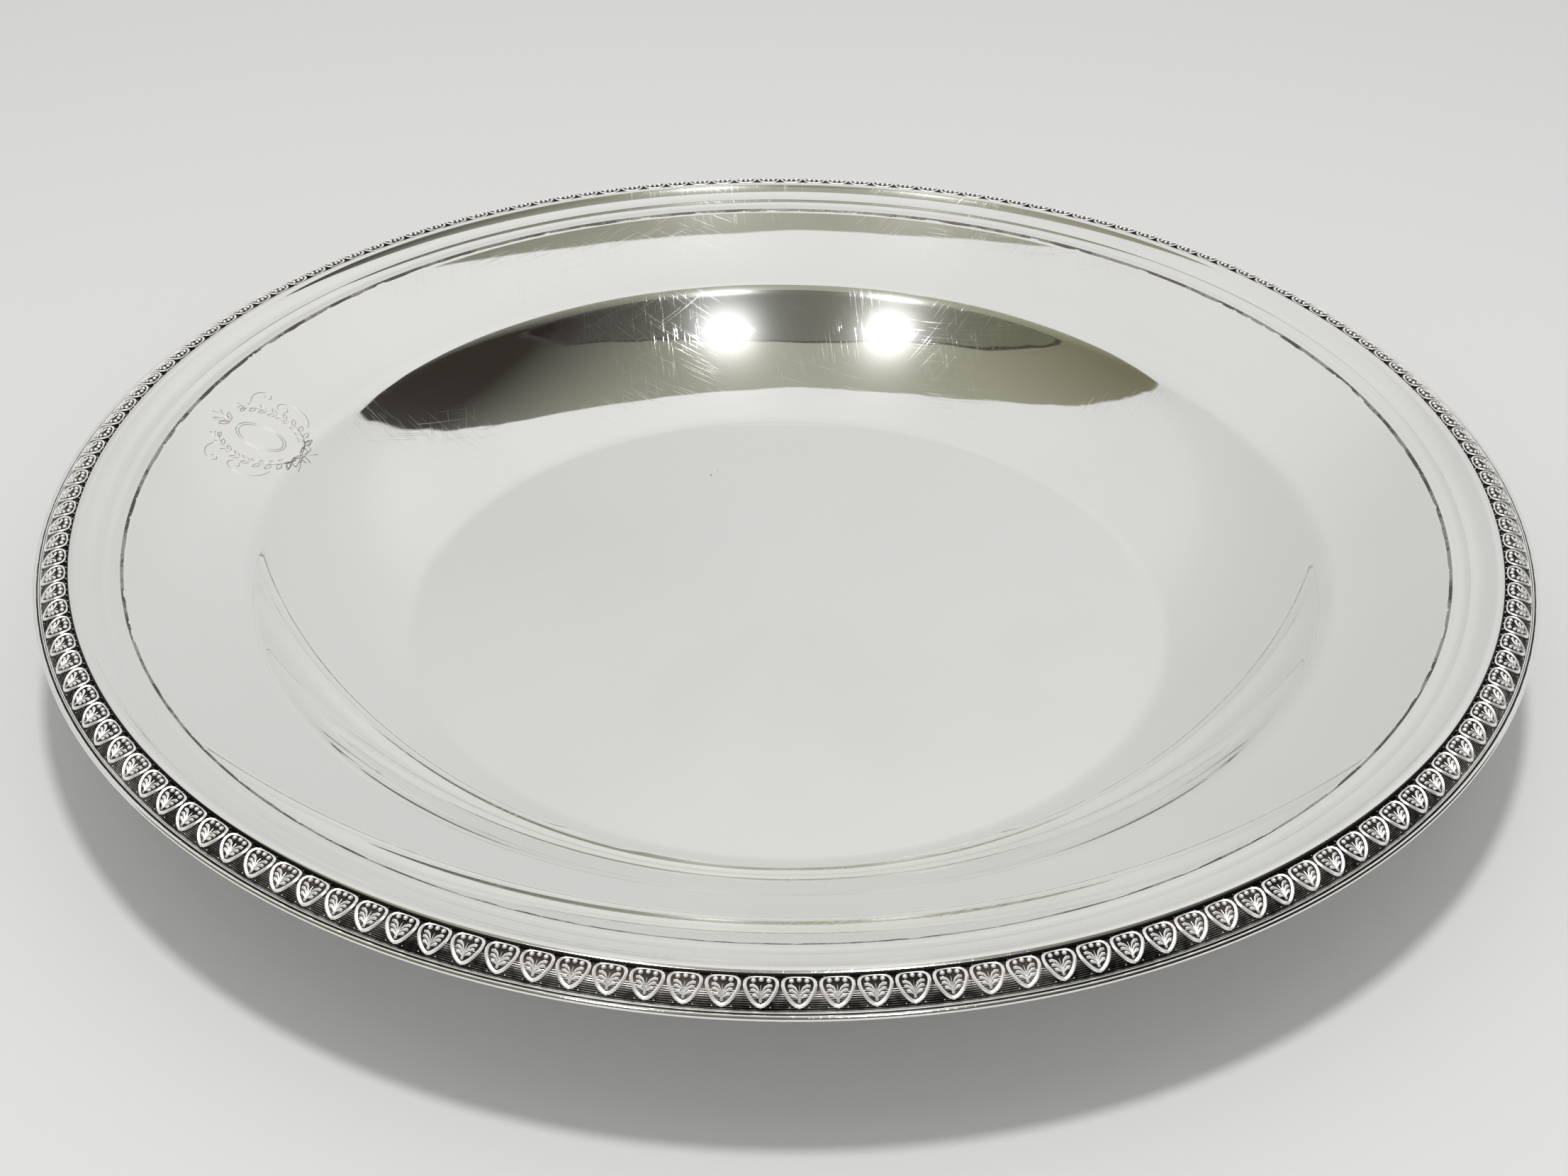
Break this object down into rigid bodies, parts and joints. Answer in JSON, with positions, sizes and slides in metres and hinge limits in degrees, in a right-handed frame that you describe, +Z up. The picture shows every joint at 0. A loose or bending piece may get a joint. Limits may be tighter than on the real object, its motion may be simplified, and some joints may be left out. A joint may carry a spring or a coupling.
{
  "type": "offering plate",
  "caption": "Round silver offering plate with a deep rounded well, a broad plain rim and an applied moulded border of palmettes in relief.",
  "frame": {"origin": "centre of the flat underside that the plate rests on", "axes": "+Z up along the plate's axis, out of the open well; the engraved ornament is on the -X side of the rim"},
  "size_m": [0.3, 0.3, 0.0345],
  "materials": {
    "polished_silver": "mirror-polished silver with fine wear scratches",
    "oxidised_silver": "bright relief over darkened recesses",
    "silver_solder": "dull grey silver solder"
  },
  "bodies": {
    "root": {"dish_body": "polished_silver", "border_moulding": "polished_silver", "palmette_strip": "oxidised_silver", "rim_wire": "polished_silver", "seam_solder": "silver_solder", "rim_solder": "silver_solder"}
  },
  "joints": []
}
